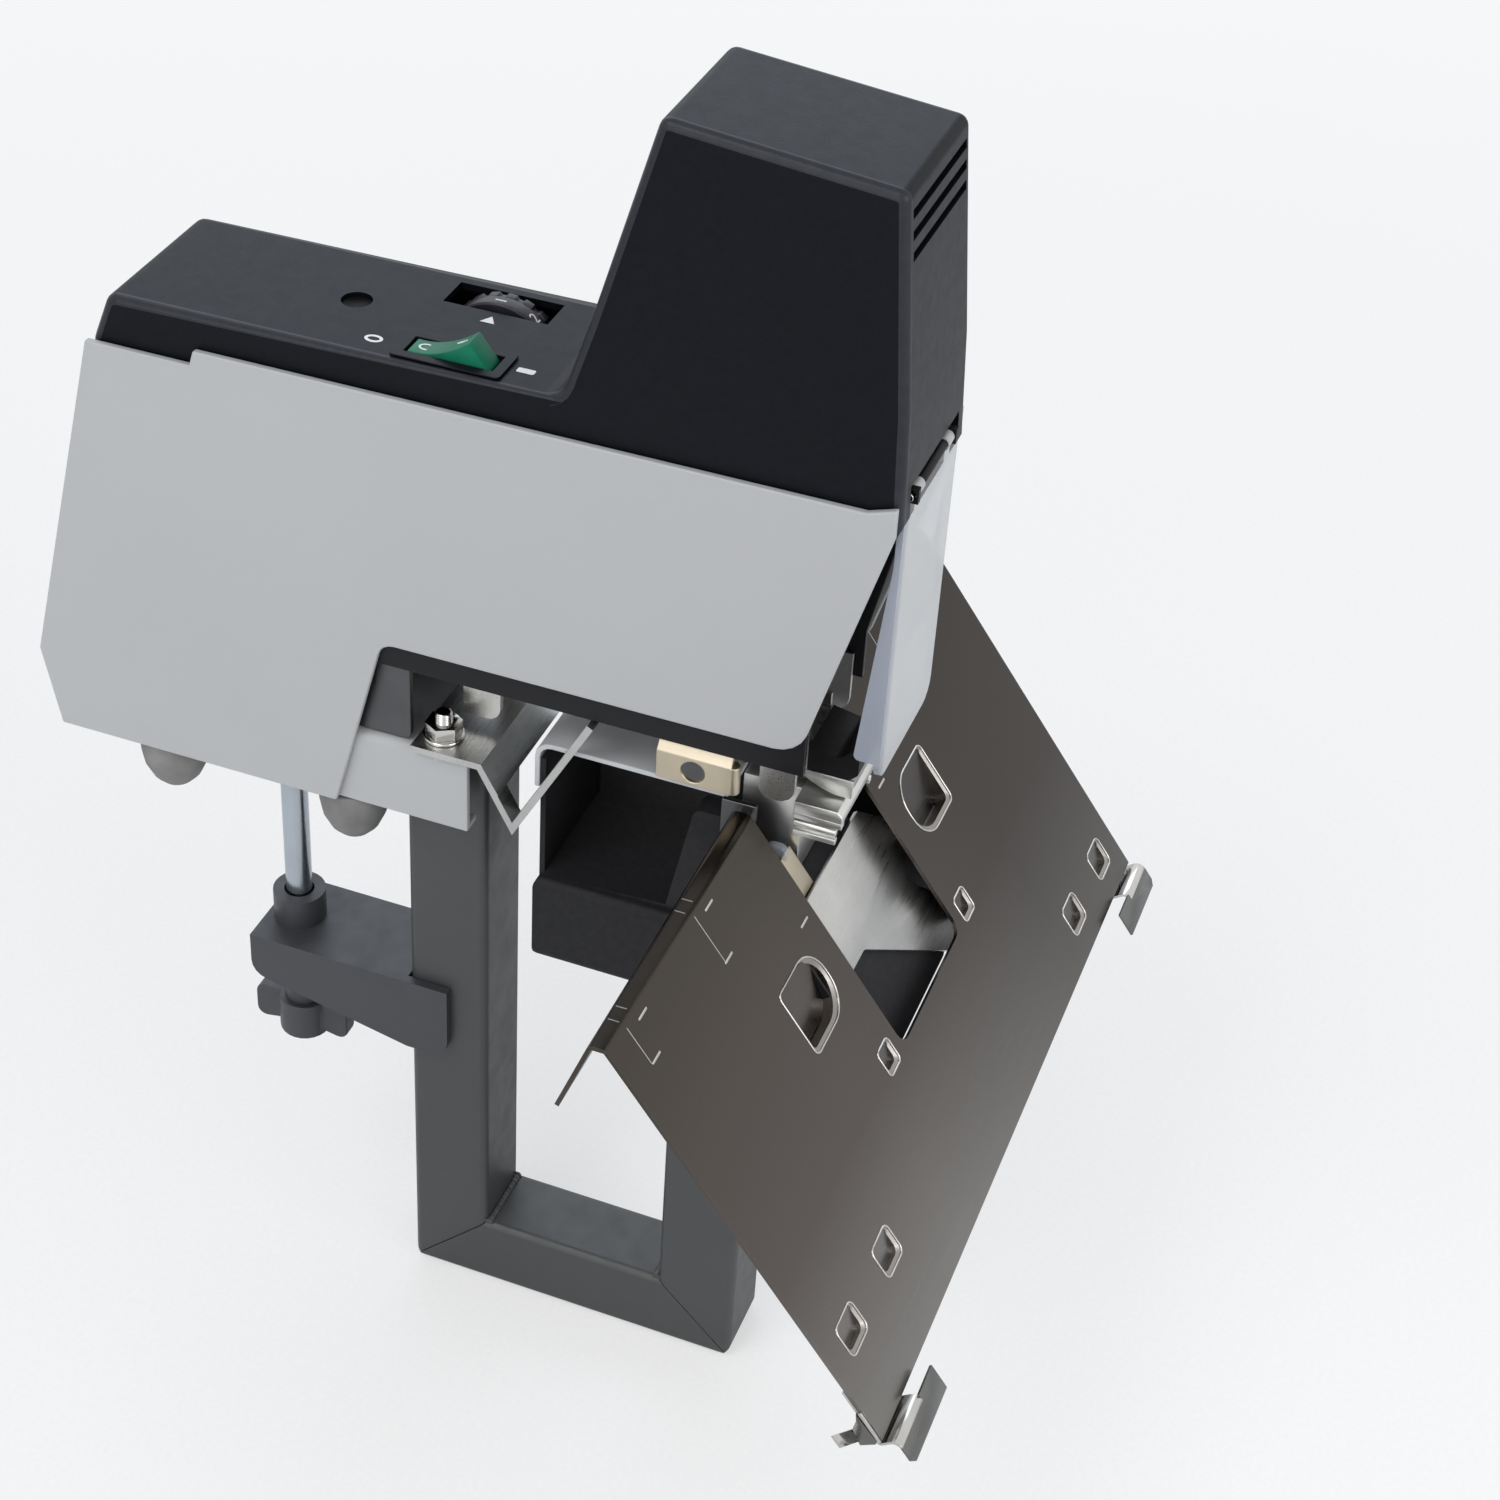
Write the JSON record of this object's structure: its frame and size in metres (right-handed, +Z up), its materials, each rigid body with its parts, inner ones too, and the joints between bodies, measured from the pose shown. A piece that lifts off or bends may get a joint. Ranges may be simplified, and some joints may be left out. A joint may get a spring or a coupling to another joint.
{
  "type": "electric saddle stapler",
  "caption": "Bench-mounted electric stapler with a solenoid head over a flat work plate and a folded saddle table, on a square-tube stand with a table clamp.",
  "frame": {"origin": "middle of the underside of the base between its feet, over the edge of the table that the machine is clamped to", "axes": "+Z up, -Y towards the operator along the throat, +X to the operator's right"},
  "size_m": [0.263, 0.3018, 0.4151],
  "materials": {
    "black_paint": "satin",
    "grey_paint": "fine satin",
    "black_plastic": "fine grain",
    "green_plastic": "gloss, translucent",
    "clear_plastic": "milky clear",
    "brushed_steel": "brushed",
    "polished_steel": "polished",
    "zinc_steel": "zinc plated",
    "cream_steel": "yellow passivated",
    "dark_steel": "blued",
    "copper": "enamelled wire",
    "board": "satin",
    "grey_rubber": "matte"
  },
  "bodies": {
    "frame": {"rear_column": "black_paint", "front_column": "black_paint", "bottom_bar": "black_paint", "base_channel": "grey_paint", "base_plate": "dark_steel", "foot_front_left": "grey_rubber", "foot_front_right": "grey_rubber", "foot_rear_left": "grey_rubber", "foot_rear_right": "grey_rubber", "clamp_spindle": "zinc_steel", "arm_frame": "black_paint", "chassis_left": "brushed_steel", "chassis_right": "brushed_steel", "side_cover_left": "grey_paint", "side_cover_right": "grey_paint", "rear_panel": "grey_paint", "power_inlet": "black_plastic", "fuse_holder": "black_plastic", "top_cover": "black_plastic", "switch_body": "black_plastic", "control_board": "board", "solenoid_yoke": "dark_steel", "coil_bobbin": "black_plastic", "coil_winding": "copper", "driver_guide": "dark_steel", "return_spring": "zinc_steel", "magazine_carrier": "brushed_steel", "pivot_pin": "zinc_steel", "nose_guide_left": "cream_steel", "nose_guide_right": "cream_steel", "side_bracket_left": "cream_steel", "side_bracket_right": "cream_steel", "guard_mount": "dark_steel", "guard_wire": "zinc_steel", "anvil": "brushed_steel", "anvil_tab": "clear_plastic", "lower_housing": "black_plastic", "front_plate": "brushed_steel", "work_plate": "brushed_steel", "saddle_table": "polished_steel", "table_bracket_left": "brushed_steel", "table_bracket_right": "brushed_steel"},
    "rocker": {"switch_rocker": "green_plastic"},
    "dial": {"dial_wheel": "black_plastic"},
    "guard": {"guard": "clear_plastic"},
    "driver": {"plunger": "zinc_steel", "driver_blade": "brushed_steel"},
    "magazine": {"magazine": "brushed_steel"},
    "drawer": {"magazine_drawer": "brushed_steel", "drawer_handle": "black_plastic"},
    "pusher": {"staple_pusher": "zinc_steel"},
    "paper_stop": {"paper_stop": "brushed_steel", "stop_screw_left": "zinc_steel", "stop_screw_right": "zinc_steel"},
    "clamp_arm": {"clamp_arm": "black_paint"},
    "clamp_knob": {"clamp_knob": "black_plastic"},
    "stop_left": {"table_stop_left": "brushed_steel"},
    "stop_right": {"table_stop_right": "brushed_steel"}
  },
  "joints": [
    {"name": "clamp_lift", "type": "slide", "parent": "frame", "child": "clamp_arm", "axis": [0, 0, 1], "range_m": [-0.005, 0.045]},
    {"name": "clamp_knob_turn", "type": "hinge", "parent": "clamp_arm", "child": "clamp_knob", "pos_m": [0, 0.01415, -0.105], "axis": [0, 0, 1], "continuous": true},
    {"name": "driver_stroke", "type": "slide", "parent": "frame", "child": "driver", "axis": [0, 0, -1], "range_m": [0, 0.014], "stiffness_N_per_m": 400, "springref_m": -0.01, "deforming": ["return_spring"]},
    {"name": "magazine_tilt", "type": "hinge", "parent": "frame", "child": "magazine", "pos_m": [0, -0.05215, 0.044], "axis": [-1, 0, 0], "range_deg": [0, 2.5]},
    {"name": "drawer_slide", "type": "slide", "parent": "magazine", "child": "drawer", "axis": [0, 1, 0], "range_m": [-0.06, 0]},
    {"name": "pusher_slide", "type": "slide", "parent": "drawer", "child": "pusher", "axis": [0, 1, 0], "range_m": [0, 0.05], "stiffness_N_per_m": 60, "springref_m": -0.02},
    {"name": "guard_swing", "type": "hinge", "parent": "frame", "child": "guard", "pos_m": [0, -0.16685, 0.135], "axis": [-1, 0, 0], "range_deg": [0, 95]},
    {"name": "rocker_tilt", "type": "hinge", "parent": "frame", "child": "rocker", "pos_m": [-0.0158, -0.04635, 0.1431], "axis": [1, 0, 0], "range_deg": [0, 28]},
    {"name": "dial_turn", "type": "hinge", "parent": "frame", "child": "dial", "pos_m": [0.0146, -0.04635, 0.1291], "axis": [1, 0, 0], "range_deg": [-150, 150]},
    {"name": "paper_stop_slide", "type": "slide", "parent": "frame", "child": "paper_stop", "axis": [0, 1, 0], "range_m": [-0.006, 0.001]},
    {"name": "stop_left_slide", "type": "slide", "parent": "frame", "child": "stop_left", "axis": [0, -0.6018, -0.7986], "range_m": [0, 0.014]},
    {"name": "stop_right_slide", "type": "slide", "parent": "frame", "child": "stop_right", "axis": [0, -0.6018, -0.7986], "range_m": [0, 0.014]}
  ],
  "couplings": [
    {"joint": "clamp_knob_turn", "follows": "clamp_lift", "rad_per_m": 5026.5}
  ]
}
